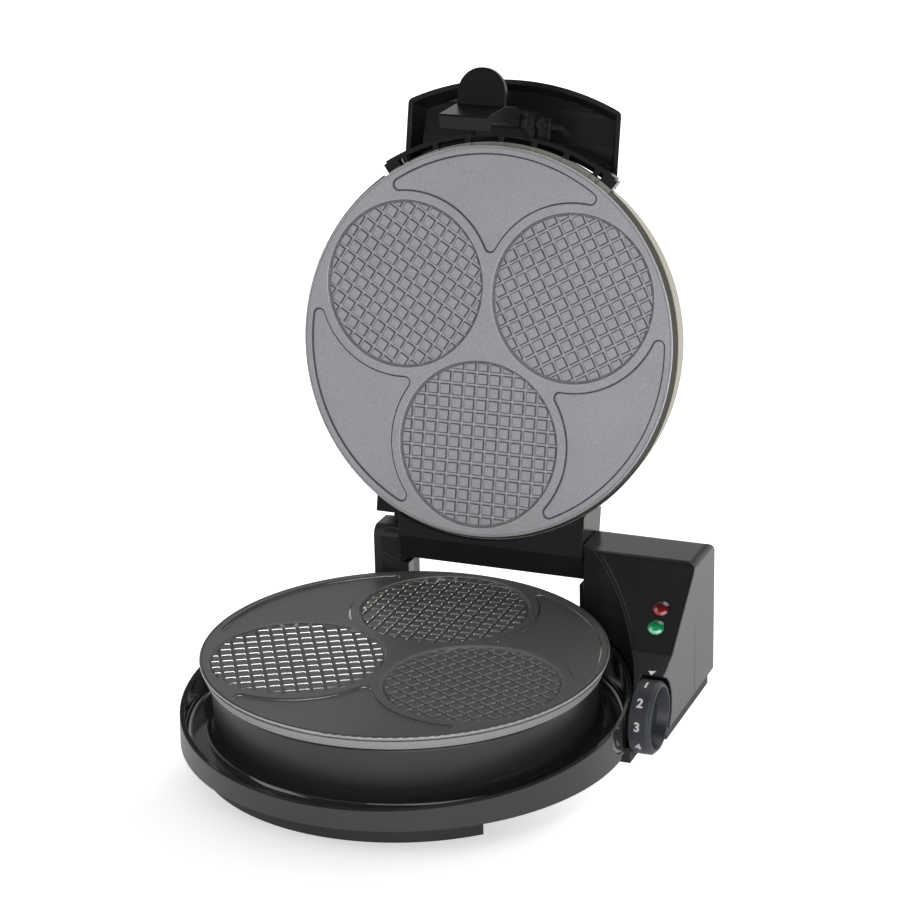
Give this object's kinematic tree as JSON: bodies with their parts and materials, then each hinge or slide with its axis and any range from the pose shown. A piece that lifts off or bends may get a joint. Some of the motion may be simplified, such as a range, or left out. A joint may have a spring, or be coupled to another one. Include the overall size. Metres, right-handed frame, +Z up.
{
  "type": "waffle cone maker",
  "caption": "Electric counter-top waffle cone maker with round hinged plates, a control pod with dial and lamps at the right, and a latching handle",
  "frame": {"origin": "on the table, under the centre of the two plates when the lid is shut", "axes": "+Z up, -Y towards the user, +X towards the control pod, hinge at +Y"},
  "size_m": [0.2685, 0.3302, 0.3634],
  "materials": {
    "base_plastic": "moulded black plastic, glossy in the moat and satin on the rim",
    "bottom_plastic": "matt black moulded plastic",
    "panel_plastic": "satin black inset panel",
    "red_lens_plastic": "clear red moulding",
    "green_lens_plastic": "clear green moulding",
    "lamp_glass": "clear lamp bulb",
    "board_laminate": "green laminate",
    "pale_plastic": "heat-proof ivory moulding",
    "soft_rubber": "black rubber",
    "plate_casting": "cast aluminium with a dark speckled non-stick coat",
    "element_steel": "heat-tinted tube",
    "reflector_sheet": "bright rolled sheet",
    "plated_steel": "zinc-plated steel",
    "dial_plastic": "satin charcoal plastic with white numbers",
    "stainless_sheet": "polished stainless sheet",
    "lid_plastic": "glossy black heat-proof plastic",
    "latch_plastic": "satin black plastic"
  },
  "bodies": {
    "base": {"base_shell": "base_plastic", "bottom_pan": "bottom_plastic", "bottom_screws": "plated_steel", "control_housing": "base_plastic", "control_panel": "panel_plastic", "red_lens": "red_lens_plastic", "green_lens": "green_lens_plastic", "indicator_lamps": "lamp_glass", "control_board": "board_laminate", "terminal_block": "pale_plastic", "cord_gland": "soft_rubber", "dial_potentiometer": "pale_plastic", "lower_plate": "plate_casting", "lower_heating_element": "element_steel", "lower_heat_reflector": "reflector_sheet", "lower_plate_standoffs": "plated_steel", "lower_plate_screws": "plated_steel", "plate_thermostat": "pale_plastic", "hinge_pin_left": "plated_steel", "hinge_pin_right": "plated_steel"},
    "dial": {"bake_dial": "dial_plastic", "dial_shaft": "plated_steel"},
    "lid": {"upper_plate": "plate_casting", "upper_heating_element": "element_steel", "upper_heat_reflector": "reflector_sheet", "upper_plate_standoffs": "plated_steel", "upper_plate_screws": "plated_steel", "thermal_cutout": "pale_plastic", "lid_cover": "stainless_sheet", "lid_ring": "lid_plastic", "hinge_housing": "lid_plastic", "handle": "lid_plastic", "handle_screws": "plated_steel", "latch_pin": "plated_steel"},
    "latch": {"latch": "latch_plastic"}
  },
  "joints": [
    {"name": "lid_hinge", "type": "hinge", "parent": "base", "child": "lid", "pos_m": [0, 0.12186, 0.07819], "axis": [1, 0, 0], "range_deg": [0, 102.69]},
    {"name": "latch_swing", "type": "hinge", "parent": "lid", "child": "latch", "pos_m": [0, 0.16159, 0.32843], "axis": [-1, 0, 0], "range_deg": [0, 15]},
    {"name": "dial_turn", "type": "hinge", "parent": "base", "child": "dial", "pos_m": [0.134, 0.0335, 0.0232], "axis": [-1, 0, 0], "range_deg": [0, 186]}
  ]
}
